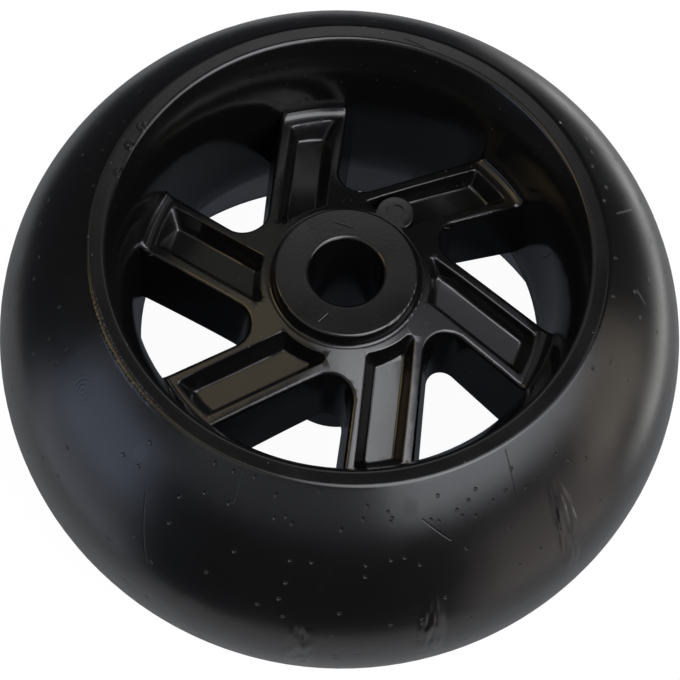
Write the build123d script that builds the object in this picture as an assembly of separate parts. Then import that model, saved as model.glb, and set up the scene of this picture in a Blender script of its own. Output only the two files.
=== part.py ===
# Deck wheel of a garden machine: one plastic moulding, lying on its side with its axle line upright.
# Heights are measured up from the lower edge of the rim, radii from the axle line. Millimetres.
from build123d import *
import math
import os

# Rim: bulging tread outside; inside, a waist at the parting line, a bell mouth above and a flare below
outer_diameter = 127.0
rim_width = 65.0
crown_height = 29.7
lip_opening = 86.0
lip_land = 3.0
lip_rounding = 1.3
lip_edge_rounding = 1.6
bell_depth = 15.0
waist_opening = 74.6
wall_draft = 3.0
lower_opening = 95.2
lower_land = 4.5
lower_edge_rounding = 1.0

# Hub: a low boss above the spokes and a barrel below them, its end set back in the rim
bore_diameter = 13.4
bore_mouth_rounding = 0.7
boss_diameter = 26.0
boss_height = 2.6
boss_draft = 12.0
boss_edge_rounding = 0.6
boss_foot_rounding = 0.7
barrel_diameter = 23.0
barrel_draft = 1.5
barrel_recess = 12.0
barrel_edge_rounding = 0.8
barrel_root_rounding = 2.0

# Spokes: they fall from the hub to the rim, and stand to one side of the axle line like a pinwheel
spoke_count = 6
first_spoke_angle = 90.0
spoke_recess = 12.5
spoke_thickness = 8.7
spoke_top_fall = 12.0
spoke_underside_fall = 16.9
spoke_width = 11.4
spoke_overhang = 0.85
spoke_draft = 5.5
spoke_edge_rounding = 0.9
spoke_end_rounding = 1.8
gap_corner_rounding = 4.6
hub_land = 0.2

# Pocket sunk in the top of each spoke, by its distance from the hub, the rim and the spoke's sides
pocket_hub_wall = 1.25
pocket_end_wall = 2.05
pocket_side_wall = 1.55
pocket_depth = 3.4
pocket_wall_slope = 25.0
pocket_corner_rounding = 0.9
pocket_floor_rounding = 0.7
pocket_edge_rounding = 0.4

# Round pad at the hub end of one pocket, just below the spoke's top, with a plain ring sunk in it
pad_spoke = 1
pad_diameter = 7.0
pad_along = 13.9
pad_from_middle = 0.6
pad_sunk = 0.4
pad_edge_rounding = 0.25
pad_ring_diameter = 3.6
pad_ring_width = 0.5
pad_ring_depth = 0.25

# Spoke roots: their depth in the rim, their rise in fillet radii, the rim's cover over the fillet
root_depth = 1.5
root_rise = 1.5
root_cover = 0.05

# Reach of a cut past the face it starts from, and the nearness that counts as lying on a surface
cut_over = 1.0
touching = 0.01

outer_radius = outer_diameter / 2
bore_radius = bore_diameter / 2
boss_radius = boss_diameter / 2
barrel_radius = barrel_diameter / 2
spoke_top = rim_width - spoke_recess
spoke_underside = spoke_top - spoke_thickness
hub_top = spoke_top + boss_height
pitch = 360.0 / spoke_count


def tan(degrees):
    return math.tan(math.radians(degrees))


boss_foot_radius = boss_radius + boss_height * tan(boss_draft)
land_radius = boss_foot_radius + boss_foot_rounding + hub_land
spoke_offset = land_radius + spoke_overhang - spoke_width / 2


def wall_radius_at(height):
    """Radius of the drafted inner wall between the waist and the bell."""
    return waist_opening / 2 + (height - crown_height) * tan(wall_draft)


def spoke_top_at(radius):
    """Height of the cone the spokes' tops lie on."""
    return spoke_top - (radius - land_radius) * tan(spoke_top_fall)


def spoke_underside_at(radius):
    """Height of the cone the spokes' undersides lie on."""
    return spoke_underside - radius * tan(spoke_underside_fall)


def rounded(section, corner, radius):
    """The section with the corner nearest a point rounded."""
    return fillet(section.vertices().sort_by_distance((*corner, 0))[0], radius)


def turned(section):
    """Solid of revolution from a section drawn as (radius, height)."""
    return revolve(Plane.XZ * section, Axis.Z)


def make_rim():
    """The solid ring of the rim."""
    crown = (outer_radius, crown_height)
    lip_inside = (lip_opening / 2, rim_width)
    lip_outside = (lip_opening / 2 + lip_land, rim_width)
    bell_start = (wall_radius_at(rim_width - bell_depth), rim_width - bell_depth)
    waist = (waist_opening / 2, crown_height)
    foot_inside = (lower_opening / 2, 0)
    foot_outside = (lower_opening / 2 + lower_land, 0)
    outline = [
        TangentArc(crown, lip_outside, tangent=(0, 1)),
        Line(lip_outside, lip_inside),
        TangentArc(bell_start, lip_inside, tangent=(tan(wall_draft), 1)),
        Line(bell_start, waist),
        Line(waist, foot_inside),
        Line(foot_inside, foot_outside),
        TangentArc(crown, foot_outside, tangent=(0, -1)),
    ]
    section = make_face([line.edge() for line in outline])
    section = rounded(section, lip_inside, lip_rounding)
    section = rounded(section, lip_outside, lip_edge_rounding)
    section = rounded(section, foot_inside, lower_edge_rounding)
    section = rounded(section, foot_outside, lower_edge_rounding)
    return turned(section)


def spoke_end():
    """Where the spokes' top cone meets the inner wall, just inside the rim."""
    radius = (wall_radius_at(spoke_top_at(0)) + root_cover) / (1 + tan(wall_draft) * tan(spoke_top_fall))
    return radius, spoke_top_at(radius)


def make_hub_disc():
    """Hub and a whole disc in place of the spokes, its end fillet lying along the rim wall."""
    end = spoke_end()
    root_top = end[1] + spoke_end_rounding * root_rise
    root_radius = end[0] + root_depth
    barrel_root_radius = barrel_radius + (spoke_underside - barrel_recess) * tan(barrel_draft)
    bore_top = (bore_radius, hub_top)
    boss_edge = (boss_radius, hub_top)
    boss_foot = (boss_foot_radius, spoke_top)
    barrel_root = (barrel_root_radius, spoke_underside_at(barrel_root_radius))
    barrel_foot = (barrel_radius, barrel_recess)
    bore_bottom = (bore_radius, barrel_recess)
    outline = Polyline(
        bore_top,
        boss_edge,
        boss_foot,
        (land_radius, spoke_top),
        end,
        (wall_radius_at(root_top) + root_cover, root_top),
        (root_radius, root_top),
        (root_radius, spoke_underside_at(root_radius)),
        barrel_root,
        barrel_foot,
        bore_bottom,
        close=True,
    )
    section = make_face(outline.edges())
    section = rounded(section, bore_top, bore_mouth_rounding)
    section = rounded(section, boss_edge, boss_edge_rounding)
    section = rounded(section, boss_foot, boss_foot_rounding)
    section = rounded(section, end, spoke_end_rounding)
    section = rounded(section, barrel_root, barrel_root_rounding)
    section = rounded(section, barrel_foot, barrel_edge_rounding)
    section = rounded(section, bore_bottom, bore_mouth_rounding)
    return turned(section)


def spoke_turn(index):
    """Turn that brings a thing made for a spoke along +X to a spoke by its number."""
    return Rot(Z=first_spoke_angle - pitch * index)


def make_gap():
    """The gap beside the spoke that lies along +X, narrowing downward by the draft."""
    near_side = spoke_offset + spoke_width / 2
    far_side = spoke_offset - spoke_width / 2
    turn = math.radians(pitch)
    start = (math.cos(turn) * near_side - far_side) / math.sin(turn)
    corner = Vector(start, near_side)
    along = corner + Vector(outer_diameter, 0)
    beside = corner + Vector(outer_diameter, 0).rotate(Axis.Z, pitch)
    section = make_face(Polyline(corner, along, beside, close=True).edges())
    section = rounded(section, (corner.X, corner.Y), gap_corner_rounding)
    depth = spoke_top - spoke_underside_at(outer_radius)
    return extrude(Pos(0, 0, spoke_top) * section, amount=-depth, taper=spoke_draft)


def pocket_plane(inner, outer):
    """Sloping plane of the spoke that lies along +X, through its top line from one radius to another."""
    near, far = [
        Vector(math.sqrt(radius**2 - spoke_offset**2), 0, spoke_top_at(radius)) for radius in (inner, outer)
    ]
    along = (far - near).normalized()
    at_axis = near - along * (near.X / along.X)
    return Plane(origin=at_axis, x_dir=along, z_dir=along.cross(Vector(0, 1, 0)))


def on_circle(radius, across):
    """Point of a circle about the axle line at a distance from the X axis."""
    return math.sqrt(radius**2 - across**2), across


def make_pocket():
    """The hollow in the sloping top of the spoke that lies along +X, its ends curved about the hub."""
    hub_end = land_radius + pocket_hub_wall
    rim_end = spoke_end()[0] - pocket_end_wall
    top = pocket_plane(hub_end, rim_end)
    spread = cut_over * tan(pocket_wall_slope)
    inner = hub_end - spread
    outer = rim_end + spread
    low = spoke_offset - spoke_width / 2 + pocket_side_wall - spread
    high = spoke_offset + spoke_width / 2 - pocket_side_wall + spread
    outline = [
        ThreePointArc(on_circle(inner, low), on_circle(inner, spoke_offset), on_circle(inner, high)),
        Line(on_circle(inner, high), on_circle(outer, high)),
        ThreePointArc(on_circle(outer, high), on_circle(outer, spoke_offset), on_circle(outer, low)),
        Line(on_circle(outer, low), on_circle(inner, low)),
    ]
    section = make_face([line.edge() for line in outline])
    depth = pocket_depth + cut_over
    hollow = extrude(top.offset(cut_over) * section, amount=-depth, taper=pocket_wall_slope)
    upward = Axis(top.origin, top.z_dir)
    levels = hollow.faces().sort_by(upward)
    corners = hollow.edges() - levels[0].edges() - levels[-1].edges()
    hollow = fillet(corners, pocket_corner_rounding)
    floor = hollow.faces().sort_by(upward)[0]
    return fillet(floor.edges(), pocket_floor_rounding)


def make_pad():
    """The pad and the shallow recess above it, for the spoke that lies along +X."""
    standing = pocket_depth + boss_height
    upward = (Align.CENTER, Align.CENTER, Align.MIN)
    downward = (Align.CENTER, Align.CENTER, Align.MAX)
    level = Pos(0, 0, spoke_top - pad_sunk)
    place = level * Pos(pad_along, spoke_offset - pad_from_middle)
    pad = Cylinder(pad_diameter / 2, standing, align=downward)
    pad = fillet(pad.faces().sort_by(Axis.Z)[-1].edges(), pad_edge_rounding)
    ring = Cylinder(pad_ring_diameter / 2, pad_ring_depth, align=downward)
    ring = ring - Cylinder(pad_ring_diameter / 2 - pad_ring_width, pad_ring_depth, align=downward)
    boss = level * Cylinder(boss_foot_radius, standing, align=upward)
    recess = place * Cylinder(pad_diameter / 2, standing, align=upward) - boss
    return place * (pad - ring), recess


def cut_in_top(edge):
    """Whether an edge is one that a cut has left in the spokes' top cone."""
    middle = edge.position_at(0.5)
    height = spoke_top_at(math.hypot(middle.X, middle.Y))
    return edge.geom_type == GeomType.BSPLINE and abs(middle.Z - height) < touching


def make_spokes():
    """Hub and spokes with rounded edges, pockets and pad."""
    spokes = make_hub_disc()
    gap = make_gap()
    for index in range(spoke_count):
        spokes = spokes - spoke_turn(index) * gap
    spokes = fillet(spokes.edges().filter_by(cut_in_top), spoke_edge_rounding)
    earlier_edges = spokes.edges()
    pocket = make_pocket()
    for index in range(spoke_count):
        spokes = spokes - spoke_turn(index) * pocket
    pocket_edges = (spokes.edges() - earlier_edges).filter_by(cut_in_top)
    spokes = fillet(pocket_edges, pocket_edge_rounding)
    pad, recess = make_pad()
    return spokes - spoke_turn(pad_spoke) * recess + spoke_turn(pad_spoke) * pad


def main():
    os.makedirs("parts", exist_ok=True)
    wheel = make_rim() + make_spokes()
    export_step(wheel.solid(), "parts/wheel.step")


if __name__ == "__main__":
    main()
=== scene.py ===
import math
import bpy
from mathutils import Matrix, Vector


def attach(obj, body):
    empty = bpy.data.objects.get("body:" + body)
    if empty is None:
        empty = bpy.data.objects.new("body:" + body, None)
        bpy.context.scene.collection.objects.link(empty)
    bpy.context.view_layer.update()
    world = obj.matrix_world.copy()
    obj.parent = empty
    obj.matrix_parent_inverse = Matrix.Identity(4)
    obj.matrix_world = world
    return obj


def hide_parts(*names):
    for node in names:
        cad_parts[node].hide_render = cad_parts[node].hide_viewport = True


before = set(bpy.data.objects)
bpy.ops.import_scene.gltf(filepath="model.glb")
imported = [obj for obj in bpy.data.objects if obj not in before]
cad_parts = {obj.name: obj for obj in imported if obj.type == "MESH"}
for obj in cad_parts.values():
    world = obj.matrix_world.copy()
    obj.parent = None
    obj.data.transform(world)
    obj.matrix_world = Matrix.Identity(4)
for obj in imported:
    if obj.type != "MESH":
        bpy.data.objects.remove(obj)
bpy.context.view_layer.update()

mm_per_metre = 1000.0

# Camera: sizes in metres, lens and sensor in millimetres, angles in degrees
camera_elevation = 63.83
camera_distance = 0.5
camera_roll = 6.11
camera_turn = 0.66
camera_drop = 0.00114
crown_height = 0.0297
sensor_width = 36.0
focal_length = 140.82

# Floor, and the pale sheet that stands in for it in reflections: sizes in metres
floor_side = 6.0
floor_white = 0.965
floor_shadow_share = 0.07
floor_tone = 0.8
sheet_radius = 0.115
sheet_sides = 96
sheet_lift = 0.0003
sheet_back = 0.02
sheet_tone = 0.36
# painted light: a faint bluish glow of the sheet, standing in for the light that falls on the floor under
# the wheel
sheet_painted_light = (0.045, 0.05, 0.062, 1)

# Light: sizes in metres
room_fill = 0.45
lamp_distance = 1.3
lamp_side = 0.8
tent_radius = 2.0
tent_segments = 48
tent_rings = 24
tent_shade = (0.036, 0.038, 0.045)
# windows of the tent, in degrees: azimuth, elevation, half width, half height, soft edge; then the colour
tent_windows = [
    # bright window at the right front, with the paler walls below and beside it
    (120, 40, 38, 22, 8, (3.0, 3.05, 3.25)),
    (115, -22, 22, 22, 8, (0.68, 0.6, 0.58)),
    (86, 0, 14, 16, 7, (1.2, 1.05, 0.88)),
    # bluish window at the left, with its glow on the ground and golden light above it
    (245, 5, 17, 17, 7, (0.95, 1.1, 1.45)),
    (250, -32, 20, 20, 8, (0.6, 0.64, 0.74)),
    (273, 45, 16, 12, 5, (2.3, 1.6, 0.75)),
    # dim upper walls at the left, behind and in front
    (295, 68, 24, 12, 6, (1.1, 0.9, 0.62)),
    (322, 46, 20, 16, 9, (0.27, 0.27, 0.24)),
    (195, 30, 32, 14, 8, (0.35, 0.36, 0.42)),
    # pale ground beyond the sheet
    (50, -45, 34, 18, 9, (2.3, 2.3, 2.25)),
    (302, -46, 28, 9, 6, (1.1, 1.1, 1.05)),
]
# ceiling lamps of the tent, in degrees: azimuth, elevation, radius, soft edge; then the colour
tent_lamps = [
    (63, 83, 10, 5, (4.6, 4.65, 4.9)),
    (358, 56, 6, 4, (1.25, 1.25, 1.25)),
    (140, 68, 15, 7, (4.4, 4.4, 4.5)),
    (108, 60, 10, 5, (4.0, 4.0, 4.1)),
    (62, 62, 14, 8, (0.65, 0.65, 0.7)),
    (230, 55, 20, 8, (0.55, 0.55, 0.45)),
]

# Wheel, as the frame has it: sizes in millimetres
lip_radius = 46.0
lip_blend = 1.0
tread_arc_middle = (19.15, 29.7)
tread_arc_radius = 44.35
crown_radius = tread_arc_middle[0] + tread_arc_radius
bowl_radius = 40.0
# the two roundings of the lip: their faces lie between two radii and above a height
lip_roundings = [(42.61, 43.73, 64.4), (45.47, 46.43, 64.6)]

# Mesh of the wheel: angle in degrees, size in metres
lip_rows = 4
crease_angle = 25.0
seam_merge = 0.000001

# Skin of the wheel: sizes in millimetres
plastic_black = 0.0038
skin_roughness = 0.17
tread_roughness = 0.25
roughness_change = 0.12
patch_detail = 2.0
noise_middle = 0.5
grain_size = 0.6
grain_height = 0.004
wave_size = 9.0
wave_height = 0.05
dust_grey = 0.12
dust_spacing = 3.4
dust_radius = 0.13
dust_kept = 0.15

# Marks on the skin: sizes in millimetres, and the shares of a reach or a width where a mark is full
mark_core = 0.4
line_core = 0.1
pit_spacing = 5.0
pit_radius = 0.46
pit_depth = 0.25
pits_kept = 0.3
scratch_width = 0.36
scratch_depth = 0.08
groove_width = 0.5
groove_depth = 0.09
trim_core = 0.3
trim_half_width = 0.8
trim_reach = 24.0
trim_height = 0.08
nick_reach = 1.2
wrinkle_size = 1.1
wrinkle_height = 0.55
wrinkle_reach = 3.2
wrinkle_stretch = 4.5
swirl_ring = 0.9
swirl_height = 0.008
swirl_reach = 4.0
spot_reach = 2.2
spot_roughness = 0.08

# Places on the tread: degrees round from +X, and the height in millimetres
pit_places = [
    (270.0, 64.3), (264.2, 60.6), (278.9, 61.2), (284.2, 60.6), (286.4, 55.0), (291.9, 59.9),
    (294.1, 62.7), (297.2, 60.2), (297.9, 59.2), (299.9, 60.9), (300.4, 58.5), (301.9, 61.9),
    (304.5, 59.5), (307.6, 59.9), (311.4, 58.9), (314.1, 59.0), (321.9, 57.7), (107.1, 63.0),
]
scratch_ends = [
    ((253.5, 64.6), (253.8, 60.4)),
    ((237.7, 55.0), (242.2, 42.0)),
    ((310.8, 64.4), (309.0, 58.2)),
    ((16.8, 62.4), (20.2, 57.2)),
    ((0.7, 59.8), (359.1, 57.6)),
]
groove_ends = ((290.4, 60.2), (295.0, 56.2))
wrinkle_places = [(316.9, 46.5), (290.7, 33.5), (269.7, 32.0)]
trim_place = (216.0, 64.4)
swirl_place = (215.9, 58.5)
shiny_spot = (233.1, 59.2)
dull_spot = (288.4, 62.2)

# Points on the hub's face and the lip, in millimetres
upper_scratch_ends = [
    ((-3.2, 9.8, 55.1), (0.2, 9.0, 55.1)),
    ((-3.8, -10.7, 55.1), (-2.4, -8.9, 55.1)),
    ((5.4, 44.2, 65.0), (9.2, 42.9, 65.0)),
]
nick_points = [(-41.1, 15.1, 65.0), (-39.4, 19.2, 65.0), (-42.2, 9.3, 64.9)]


def add(tree, kind, inputs=None, **settings):
    """Add one node, with its own settings, and fill or link its inputs."""
    node = tree.nodes.new(kind)
    for name, value in settings.items():
        setattr(node, name, value)
    for socket, value in (inputs or {}).items():
        if isinstance(value, bpy.types.NodeSocket):
            tree.links.new(value, node.inputs[socket])
        else:
            node.inputs[socket].default_value = value
    return node


def calc(tree, operation, *values):
    """The result of one Math node."""
    return add(tree, "ShaderNodeMath", dict(enumerate(values)), operation=operation).outputs[0]


def least(tree, values):
    """The smallest of several values."""
    smallest = values[0]
    for value in values[1:]:
        smallest = calc(tree, "MINIMUM", smallest, value)
    return smallest


def scaled(tree, *values):
    """The product of values and sizes."""
    product = values[0]
    for value in values[1:]:
        product = calc(tree, "MULTIPLY", product, value)
    return product


def total(tree, *values):
    """The sum of values."""
    result = values[0]
    for value in values[1:]:
        result = calc(tree, "ADD", result, value)
    return result


def fade(tree, value, full, gone):
    """1 where the value is up to full, falling smoothly to 0 where it is gone or more."""
    limits = {"Value": value, "From Min": full, "From Max": gone, "To Min": 1.0, "To Max": 0.0}
    return add(tree, "ShaderNodeMapRange", limits, interpolation_type="SMOOTHSTEP").outputs["Result"]


def vector_math(tree, operation, *vectors):
    """The outputs of one Vector Math node."""
    return add(tree, "ShaderNodeVectorMath", dict(enumerate(vectors)), operation=operation).outputs


def stretched(tree, vector, size):
    """A vector times a size."""
    inputs = {0: vector, "Scale": size}
    return add(tree, "ShaderNodeVectorMath", inputs, operation="SCALE").outputs["Vector"]


def distance(tree, start, end):
    """Distance between two points."""
    return vector_math(tree, "DISTANCE", start, end)["Value"]


def flat_point(tree, across, along):
    """A point of a flat sheet, from two distances."""
    return add(tree, "ShaderNodeCombineXYZ", {"X": across, "Y": along}).outputs["Vector"]


def noise(tree, place, size, detail=0.0):
    """Soft noise with lumps of about that size, between 0 and 1."""
    lumps = {"Vector": place, "Scale": 1 / size, "Detail": detail}
    return add(tree, "ShaderNodeTexNoise", lumps).outputs["Fac"]


def new_tree(material):
    """The empty node tree of a material or a world."""
    material.use_nodes = True
    material.node_tree.nodes.clear()
    return material.node_tree


def toward(azimuth, elevation):
    """The direction at a compass azimuth, clockwise from +Y, and an elevation."""
    level = math.cos(math.radians(elevation))
    turn = math.radians(azimuth)
    return Vector((math.sin(turn) * level, math.cos(turn) * level, math.sin(math.radians(elevation))))


def grey(tone):
    """An opaque grey of that tone."""
    return (tone, tone, tone, 1)


def only_in_reflections(piece):
    """Hide a piece of the stage from all but glossy rays."""
    piece.visible_camera = False
    piece.visible_diffuse = False
    piece.visible_transmission = False
    piece.visible_shadow = False


def seen_directly(tree):
    """1 for rays that show a thing itself: from the camera, in a reflection or through glass."""
    path = add(tree, "ShaderNodeLightPath").outputs
    seen = calc(tree, "MAXIMUM", path["Is Camera Ray"], path["Is Glossy Ray"])
    return calc(tree, "MAXIMUM", seen, path["Is Transmission Ray"])


def make_camera():
    """The camera at the photograph's viewing angle."""
    bpy.ops.object.camera_add()
    camera = bpy.context.object
    camera.name = "photo_camera"
    camera.data.sensor_width = sensor_width
    camera.data.lens = focal_length
    tilt = Matrix.Rotation(math.radians(90 - camera_elevation), 4, "X")
    roll = Matrix.Rotation(math.radians(camera_roll), 4, "Z")
    turn = Matrix.Rotation(math.radians(camera_turn), 4, "Z") @ tilt @ roll
    place = Matrix.Translation((0, 0, crown_height)) @ turn
    camera.matrix_world = place @ Matrix.Translation((0, -camera_drop, camera_distance))
    bpy.context.scene.camera = camera


def make_floor():
    """A plain white floor, which keeps a faint shadow of the wheel."""
    bpy.ops.mesh.primitive_plane_add(size=floor_side)
    floor = bpy.context.object
    floor.name = "floor"
    paper = bpy.data.materials.new("white_paper")
    tree = new_tree(paper)
    lit = add(tree, "ShaderNodeBsdfDiffuse", {"Color": grey(floor_tone)})
    shaded = add(tree, "ShaderNodeBsdfDiffuse", {"Color": grey(floor_shadow_share)})
    glow = add(tree, "ShaderNodeEmission", {"Strength": floor_white})
    shown = add(tree, "ShaderNodeAddShader", {0: glow.outputs[0], 1: shaded.outputs[0]})
    both = {0: seen_directly(tree), 1: lit.outputs[0], 2: shown.outputs[0]}
    mixed = add(tree, "ShaderNodeMixShader", both)
    add(tree, "ShaderNodeOutputMaterial", {"Surface": mixed.outputs[0]})
    floor.data.materials.append(paper)
    floor.visible_glossy = False


def make_sheet():
    """The round pale sheet under the wheel, which only reflections show, with the wheel's shadow on it and
    a faint painted glow that stands in for the light falling on the floor under the wheel.
    """
    bpy.ops.mesh.primitive_circle_add(vertices=sheet_sides, radius=sheet_radius, fill_type="NGON")
    sheet = bpy.context.object
    sheet.name = "pale_sheet"
    sheet.location = (0, sheet_back, sheet_lift)
    card = bpy.data.materials.new("pale_card")
    tree = new_tree(card)
    lit = add(tree, "ShaderNodeBsdfDiffuse", {"Color": grey(sheet_tone)})
    # painted light: the sheet glows faintly bluish, standing in for the light that falls on the floor
    # under the wheel
    glow = add(tree, "ShaderNodeEmission", {"Color": sheet_painted_light})
    both = add(tree, "ShaderNodeAddShader", {0: lit.outputs[0], 1: glow.outputs[0]})
    add(tree, "ShaderNodeOutputMaterial", {"Surface": both.outputs[0]})
    card.cycles.emission_sampling = "NONE"
    sheet.data.materials.append(card)
    only_in_reflections(sheet)


def make_world():
    """White behind the wheel, with a plain grey fill light."""
    world = bpy.data.worlds.new("studio")
    tree = new_tree(world)
    white = add(tree, "ShaderNodeBackground", {"Color": (1, 1, 1, 1), "Strength": 1.0})
    fill = add(tree, "ShaderNodeBackground", {"Color": (1, 1, 1, 1), "Strength": room_fill})
    both = {0: seen_directly(tree), 1: fill.outputs[0], 2: white.outputs[0]}
    mixed = add(tree, "ShaderNodeMixShader", both)
    add(tree, "ShaderNodeOutputWorld", {"Surface": mixed.outputs[0]})
    bpy.context.scene.world = world


def add_light(tree, light, share, colour):
    """Add a share of a colour to the tent's light so far."""
    glow = stretched(tree, colour, share)
    light["colour"] = vector_math(tree, "ADD", light["colour"], glow)["Vector"]


def soft_window(tree, light, azimuth, elevation, half_width, half_height, edge, colour):
    """Add a soft-edged window, its sizes in degrees, to the tent's light."""
    aside = calc(tree, "SUBTRACT", light["azimuth"], azimuth)
    aside = calc(tree, "ABSOLUTE", calc(tree, "WRAP", aside, 180.0, -180.0))
    above = calc(tree, "ABSOLUTE", calc(tree, "SUBTRACT", light["elevation"], elevation))
    across = fade(tree, aside, half_width - edge, half_width + edge)
    upright = fade(tree, above, half_height - edge, half_height + edge)
    add_light(tree, light, calc(tree, "MULTIPLY", across, upright), colour)


def round_lamp(tree, light, azimuth, elevation, radius, edge, colour):
    """Add a soft round lamp, its radius in degrees, to the tent's light."""
    near = vector_math(tree, "DOT_PRODUCT", light["way"], toward(azimuth, elevation))["Value"]
    angle = calc(tree, "DEGREES", calc(tree, "ARCCOSINE", near))
    add_light(tree, light, fade(tree, angle, radius - edge, radius + edge), colour)


def make_tent():
    """A dim round tent with soft windows and lamps, which only reflections show."""
    bpy.ops.mesh.primitive_uv_sphere_add(segments=tent_segments, ring_count=tent_rings, radius=tent_radius)
    tent = bpy.context.object
    tent.name = "light_tent"
    cloth = bpy.data.materials.new("tent_cloth")
    tree = new_tree(cloth)
    place = add(tree, "ShaderNodeTexCoord").outputs["Object"]
    way = vector_math(tree, "NORMALIZE", place)["Vector"]
    part = add(tree, "ShaderNodeSeparateXYZ", {"Vector": way}).outputs
    azimuth = calc(tree, "DEGREES", calc(tree, "ARCTAN2", part["X"], part["Y"]))
    elevation = calc(tree, "DEGREES", calc(tree, "ARCSINE", part["Z"]))
    light = {"azimuth": azimuth, "elevation": elevation, "way": way, "colour": tent_shade}
    for window in tent_windows:
        soft_window(tree, light, *window)
    for lamp in tent_lamps:
        round_lamp(tree, light, *lamp)
    glow = add(tree, "ShaderNodeEmission", {"Color": light["colour"], "Strength": 1.0})
    add(tree, "ShaderNodeOutputMaterial", {"Surface": glow.outputs[0]})
    cloth.cycles.emission_sampling = "NONE"
    tent.data.materials.append(cloth)
    only_in_reflections(tent)


def make_lamp(name, azimuth, elevation, power):
    """A square soft lamp that faces the wheel; reflections show the tent's windows instead."""
    bpy.ops.object.light_add(type="AREA")
    lamp = bpy.context.object
    lamp.name = name
    lamp.data.size = lamp_side
    lamp.data.energy = power
    way = toward(azimuth, elevation)
    lamp.location = way * lamp_distance
    lamp.rotation_euler = way.to_track_quat("Z", "Y").to_euler()
    lamp.visible_glossy = False


def on_tread(place):
    """A place on the tread, as millimetres round the crown and along the tread's arc."""
    turn = (place[0] + 180) % 360 - 180
    rise = place[1] - tread_arc_middle[1]
    around = math.radians(turn) * crown_radius
    along = math.asin(rise / tread_arc_radius) * tread_arc_radius
    return Vector((around, along, 0))


def apart_from(tree, spread, place):
    """Distance over the flattened tread from a place on it."""
    return distance(tree, spread, on_tread(place))


def apart_from_line(tree, points, start, end):
    """Distance from the line between two points."""
    line = end - start
    from_start = vector_math(tree, "SUBTRACT", points, start)["Vector"]
    share = vector_math(tree, "DOT_PRODUCT", from_start, line / line.length_squared)["Value"]
    share = calc(tree, "MINIMUM", calc(tree, "MAXIMUM", share, 0.0), 1.0)
    return distance(tree, from_start, stretched(tree, line, share))


def round_mark(tree, apart, reach):
    """1 near the middle of a round mark, falling to 0 at its reach."""
    return fade(tree, apart, mark_core * reach, reach)


def line_mark(tree, apart, width):
    """1 near the middle of a line, falling to 0 at half its width."""
    return fade(tree, apart, line_core * width, width / 2)


def at_place(tree, spread, place, reach):
    """1 at a place on the flattened tread, falling to 0 at that reach from it."""
    return round_mark(tree, apart_from(tree, spread, place), reach)


def specks(tree, spread, spacing, radius, kept):
    """1 on specks scattered over a flattened surface, of which that share is kept, and 0 beside them."""
    grid = {"Vector": spread, "Scale": 1 / spacing}
    cells = add(tree, "ShaderNodeTexVoronoi", grid, voronoi_dimensions="2D").outputs
    spot = round_mark(tree, cells["Distance"], radius / spacing)
    chance = add(tree, "ShaderNodeSeparateColor", {"Color": cells["Color"]}).outputs["Red"]
    return calc(tree, "MULTIPLY", spot, calc(tree, "LESS_THAN", chance, kept))


def wheel_map(tree):
    """Points of the wheel in millimetres, and the tread and the bowl inside the lip laid out flat."""
    metres = add(tree, "ShaderNodeTexCoord").outputs["Object"]
    place = stretched(tree, metres, mm_per_metre)
    part = add(tree, "ShaderNodeSeparateXYZ", {"Vector": place}).outputs
    radius = vector_math(tree, "LENGTH", flat_point(tree, part["X"], part["Y"]))["Value"]
    turn = calc(tree, "ARCTAN2", part["Y"], part["X"])
    rise = calc(tree, "SUBTRACT", part["Z"], tread_arc_middle[1])
    reach = calc(tree, "SUBTRACT", radius, tread_arc_middle[0])
    arc = scaled(tree, calc(tree, "ARCTAN2", rise, reach), tread_arc_radius)
    bowl = fade(tree, radius, lip_radius, lip_radius + lip_blend)
    return {
        "place": place,
        "radius": radius,
        "tread_spread": flat_point(tree, scaled(tree, turn, crown_radius), arc),
        "bowl_spread": flat_point(tree, scaled(tree, turn, bowl_radius), total(tree, part["Z"], radius)),
        "bowl": bowl,
        "tread": calc(tree, "SUBTRACT", 1.0, bowl),
    }


def in_pits(tree, wheel):
    """1 in the pits of the tread: scattered ones, and those with a place of their own."""
    spread = wheel["tread_spread"]
    scattered = scaled(tree, specks(tree, spread, pit_spacing, pit_radius, pits_kept), wheel["tread"])
    nearest = least(tree, [apart_from(tree, spread, pit) for pit in pit_places])
    return calc(tree, "MAXIMUM", scattered, round_mark(tree, nearest, pit_radius))


def in_scratches(tree, wheel):
    """1 in the scratches of the tread, the hub's face and the lip."""
    lines = []
    for start, end in scratch_ends:
        lines.append(apart_from_line(tree, wheel["tread_spread"], on_tread(start), on_tread(end)))
    for start, end in upper_scratch_ends:
        lines.append(apart_from_line(tree, wheel["place"], Vector(start), Vector(end)))
    return line_mark(tree, least(tree, lines), scratch_width)


def in_groove(tree, wheel):
    """1 in the short groove of the tread."""
    start, end = groove_ends
    apart = apart_from_line(tree, wheel["tread_spread"], on_tread(start), on_tread(end))
    return line_mark(tree, apart, groove_width)


def on_rough_lip(tree, wheel):
    """1 along the trimmed stretch of the lip and on its nicks."""
    edge = calc(tree, "ABSOLUTE", calc(tree, "SUBTRACT", wheel["radius"], lip_radius))
    stretch = at_place(tree, wheel["tread_spread"], trim_place, trim_reach)
    trimmed = scaled(tree, fade(tree, edge, trim_core, trim_half_width), stretch)
    nearest = least(tree, [distance(tree, wheel["place"], nick) for nick in nick_points])
    return calc(tree, "MAXIMUM", trimmed, round_mark(tree, nearest, nick_reach))


def flow_wrinkles(tree, wheel):
    """Height of the flow wrinkles, which are long from top to bottom of the tread."""
    shrink = Vector((1, 1 / wrinkle_stretch, 1))
    folded = vector_math(tree, "MULTIPLY", wheel["tread_spread"], shrink)["Vector"]
    nearest = least(tree, [distance(tree, folded, on_tread(place) * shrink) for place in wrinkle_places])
    folds = noise(tree, folded, wrinkle_size)
    return scaled(tree, round_mark(tree, nearest, wrinkle_reach), folds, wrinkle_height)


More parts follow.
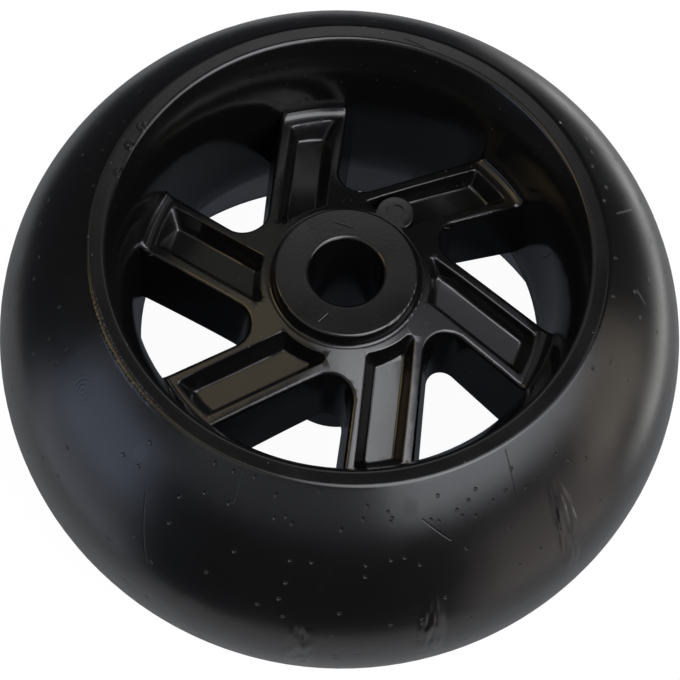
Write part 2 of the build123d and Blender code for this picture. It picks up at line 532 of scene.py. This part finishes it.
def swirl_rings(tree, wheel):
    """Height of the faint rings round one place of the tread."""
    apart = apart_from(tree, wheel["tread_spread"], swirl_place)
    rings = calc(tree, "SINE", scaled(tree, apart, 2 * math.pi / swirl_ring))
    return scaled(tree, rings, round_mark(tree, apart, swirl_reach), swirl_height)


def skin_height(tree, wheel):
    """Height of the plastic's skin in millimetres, with its grain, waves and marks."""
    fine = noise(tree, wheel["place"], grain_size)
    grain = scaled(tree, fine, grain_height)
    waves = scaled(tree, noise(tree, wheel["place"], wave_size), wave_height)
    trim = scaled(tree, on_rough_lip(tree, wheel), fine, trim_height)
    pits = scaled(tree, in_pits(tree, wheel), -pit_depth)
    scratches = scaled(tree, in_scratches(tree, wheel), -scratch_depth)
    groove = scaled(tree, in_groove(tree, wheel), -groove_depth)
    sunk = total(tree, pits, scratches, groove)
    return total(tree, grain, waves, trim, flow_wrinkles(tree, wheel), swirl_rings(tree, wheel), sunk)


def skin_gloss(tree, wheel):
    """Roughness of the plastic's skin: patchy, duller on the tread, with one dull and one shiny spot."""
    spread = wheel["tread_spread"]
    patches = noise(tree, wheel["place"], wave_size, patch_detail)
    patchy = scaled(tree, calc(tree, "SUBTRACT", patches, noise_middle), roughness_change)
    dull = at_place(tree, spread, dull_spot, spot_reach)
    shiny = at_place(tree, spread, shiny_spot, spot_reach)
    spots = scaled(tree, calc(tree, "SUBTRACT", dull, shiny), spot_roughness)
    tread = scaled(tree, wheel["tread"], tread_roughness - skin_roughness)
    return total(tree, patchy, spots, skin_roughness, tread)


def wheel_plastic():
    """Black moulded plastic: a satin skin with fine grain, pits, scratches and dust."""
    plastic = bpy.data.materials.new("black_moulded_plastic")
    tree = new_tree(plastic)
    wheel = wheel_map(tree)
    relief = {"Strength": 1.0, "Distance": 1 / mm_per_metre, "Height": skin_height(tree, wheel)}
    bump = add(tree, "ShaderNodeBump", relief)
    dust = specks(tree, wheel["bowl_spread"], dust_spacing, dust_radius, dust_kept)
    dust = scaled(tree, dust, wheel["bowl"])
    # a Mix node takes two colours at its inputs 6 and 7, and gives their mixture at its output 2
    colours = {0: dust, 6: grey(plastic_black), 7: grey(dust_grey)}
    colour = add(tree, "ShaderNodeMix", colours, data_type="RGBA").outputs[2]
    skin = {"Base Color": colour, "Roughness": skin_gloss(tree, wheel), "Normal": bump.outputs["Normal"]}
    surface = add(tree, "ShaderNodeBsdfPrincipled", skin).outputs[0]
    add(tree, "ShaderNodeOutputMaterial", {"Surface": surface})
    return plastic


def round_lip_again(moulding, inside, outside, base):
    """Take out the faces of one rounding of the lip, and bridge its two edges in even rows."""
    bpy.ops.object.mode_set(mode="EDIT")
    bpy.ops.mesh.select_mode(type="FACE")
    bpy.ops.mesh.select_all(action="DESELECT")
    bpy.ops.object.mode_set(mode="OBJECT")
    for face in moulding.data.polygons:
        middle = face.center * mm_per_metre
        face.select = inside < math.hypot(middle.x, middle.y) < outside and middle.z > base
    bpy.ops.object.mode_set(mode="EDIT")
    bpy.ops.mesh.delete(type="FACE")
    bpy.ops.mesh.select_mode(type="EDGE")
    bpy.ops.mesh.select_non_manifold(
        use_wire=False, use_multi_face=False, use_non_contiguous=False, use_verts=False
    )
    bpy.ops.mesh.bridge_edge_loops(number_cuts=lip_rows, interpolation="SURFACE", smoothness=1.0)
    bpy.ops.object.mode_set(mode="OBJECT")


def make_wheel():
    """The moulded wheel: the frame's wheel with merged seams, and even shading over its roundings."""
    bpy.ops.object.select_all(action="DESELECT")
    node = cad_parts["wheel"]
    node.select_set(True)
    bpy.context.view_layer.objects.active = node
    bpy.ops.object.duplicate()
    moulding = bpy.context.object
    moulding.name = "moulded_wheel"
    bpy.ops.object.mode_set(mode="EDIT")
    bpy.ops.mesh.select_all(action="SELECT")
    bpy.ops.mesh.remove_doubles(threshold=seam_merge)
    bpy.ops.object.mode_set(mode="OBJECT")
    for inside, outside, base in lip_roundings:
        round_lip_again(moulding, inside, outside, base)
    bpy.ops.mesh.customdata_custom_splitnormals_clear()
    bpy.ops.object.shade_smooth_by_angle(angle=math.radians(crease_angle))
    bpy.ops.object.modifier_add(type="WEIGHTED_NORMAL")
    evened = moulding.modifiers[-1]
    evened.keep_sharp = True
    bpy.ops.object.modifier_apply(modifier=evened.name)
    moulding.data.materials.clear()
    moulding.data.materials.append(wheel_plastic())
    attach(moulding, "root")
    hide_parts("wheel")


make_wheel()
make_camera()
make_floor()
make_sheet()
make_world()
make_tent()
make_lamp("key_lamp", azimuth=124, elevation=48, power=9.0)
make_lamp("fill_lamp", azimuth=260, elevation=35, power=3.0)

bpy.context.scene.view_settings.view_transform = "Standard"
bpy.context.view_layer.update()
